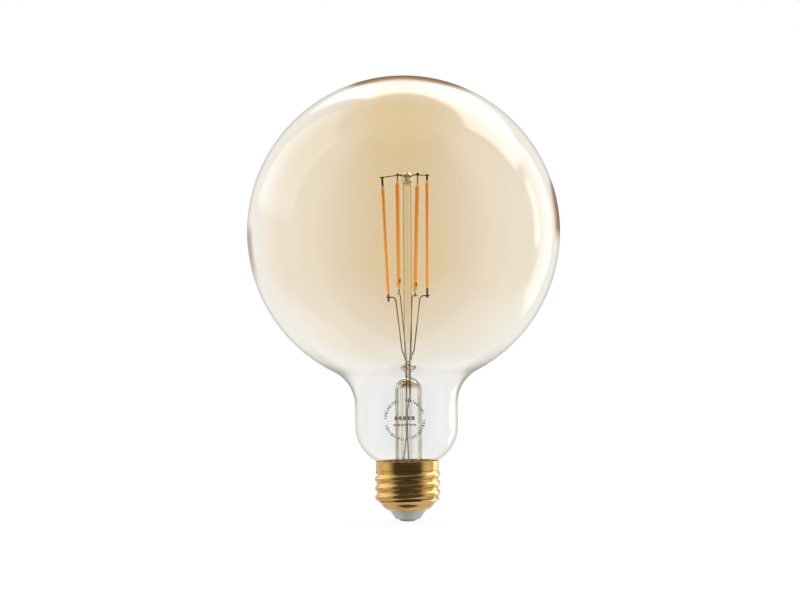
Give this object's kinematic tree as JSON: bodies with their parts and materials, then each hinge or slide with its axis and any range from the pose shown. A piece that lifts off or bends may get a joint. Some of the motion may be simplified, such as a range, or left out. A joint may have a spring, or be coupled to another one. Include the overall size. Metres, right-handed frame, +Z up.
{
  "type": "light bulb",
  "caption": "Large globe filament lamp of pale amber glass with a clear neck, a glass stem with upright light strips, and a brass screw cap that hides its driver and radio.",
  "frame": {"origin": "middle of the centre contact's flat face, at the lamp's foot, on the lamp's axis", "axes": "+Z up the lamp's axis from the cap to the crown of the globe; -Y towards the side whose two front filaments are nearest; +X to the right seen from there"},
  "size_m": [0.125, 0.125, 0.178],
  "materials": {
    "envelope_glass": "thin blown glass with a pale amber coating that fades to clear at the neck",
    "stem_glass": "clear drawn glass",
    "phosphor_coat": "soft orange phosphor and silicone, slightly glossy",
    "strip_ceramic": "white ceramic strip",
    "led_die": "small pale blue-grey dies",
    "terminal_metal": "dark oxidised metal tabs",
    "lead_metal": "drawn nickel-plated wire, browned by heat",
    "seal_copper": "copper-clad wire",
    "tinned_lead": "tinned wire, dull grey",
    "shell_brass": "bright rolled brass",
    "insulator_ceramic": "pale grey glazed insulator",
    "contact_metal": "dull tinned metal",
    "solder": "bright solder",
    "cement": "set capping cement",
    "liner_plastic": "natural white plastic",
    "board_laminate": "green solder resist on laminate",
    "radio_laminate": "dark blue solder resist on laminate",
    "chip_plastic": "black moulded body",
    "fuse_body": "grey-green lacquer",
    "capacitor_aluminium": "drawn can",
    "sleeve_plastic": "dark shrink sleeve",
    "bung_rubber": "black rubber",
    "ferrite": "dark ferrite",
    "winding_copper": "enamelled copper turns",
    "film_plastic": "yellow moulded box",
    "resistor_ceramic": "dark film on white ceramic",
    "shield_metal": "tin-plated can"
  },
  "bodies": {
    "root": {"board_solder": "solder", "bridge_rectifier": "chip_plastic", "bridge_wire_a": "lead_metal", "bridge_wire_b": "lead_metal", "cap_insulator": "insulator_ceramic", "capacitor_bung": "bung_rubber", "capacitor_can": "capacitor_aluminium", "capacitor_leads": "tinned_lead", "capacitor_sleeve": "sleeve_plastic", "capping_cement": "cement", "centre_contact": "contact_metal", "chip_resistors": "resistor_ceramic", "contact_solder": "solder", "contact_wire": "tinned_lead", "driver_board": "board_laminate", "driver_chip": "chip_plastic", "exhaust_tube": "stem_glass", "filament_coat_1": "phosphor_coat", "filament_coat_2": "phosphor_coat", "filament_coat_3": "phosphor_coat", "filament_coat_4": "phosphor_coat", "filament_strip_1": "strip_ceramic", "filament_strip_2": "strip_ceramic", "filament_strip_3": "strip_ceramic", "filament_strip_4": "strip_ceramic", "filament_terminals": "terminal_metal", "fuse_resistor": "fuse_body", "glass_envelope": "envelope_glass", "inductor_core": "ferrite", "inductor_winding": "winding_copper", "input_capacitor": "film_plastic", "insulating_liner": "liner_plastic", "lead_wire_1": "lead_metal", "lead_wire_2": "lead_metal", "lead_wire_3": "lead_metal", "lead_wire_4": "lead_metal", "led_chips": "led_die", "outer_lead_live": "tinned_lead", "outer_lead_neutral": "tinned_lead", "radio_antenna": "seal_copper", "radio_board": "radio_laminate", "radio_chip": "chip_plastic", "radio_shield": "shield_metal", "screw_shell": "shell_brass", "seal_wire_live": "seal_copper", "seal_wire_neutral": "seal_copper", "shell_solder": "solder", "shell_wire": "tinned_lead", "stem_flare": "stem_glass", "support_rod": "stem_glass"}
  },
  "joints": []
}
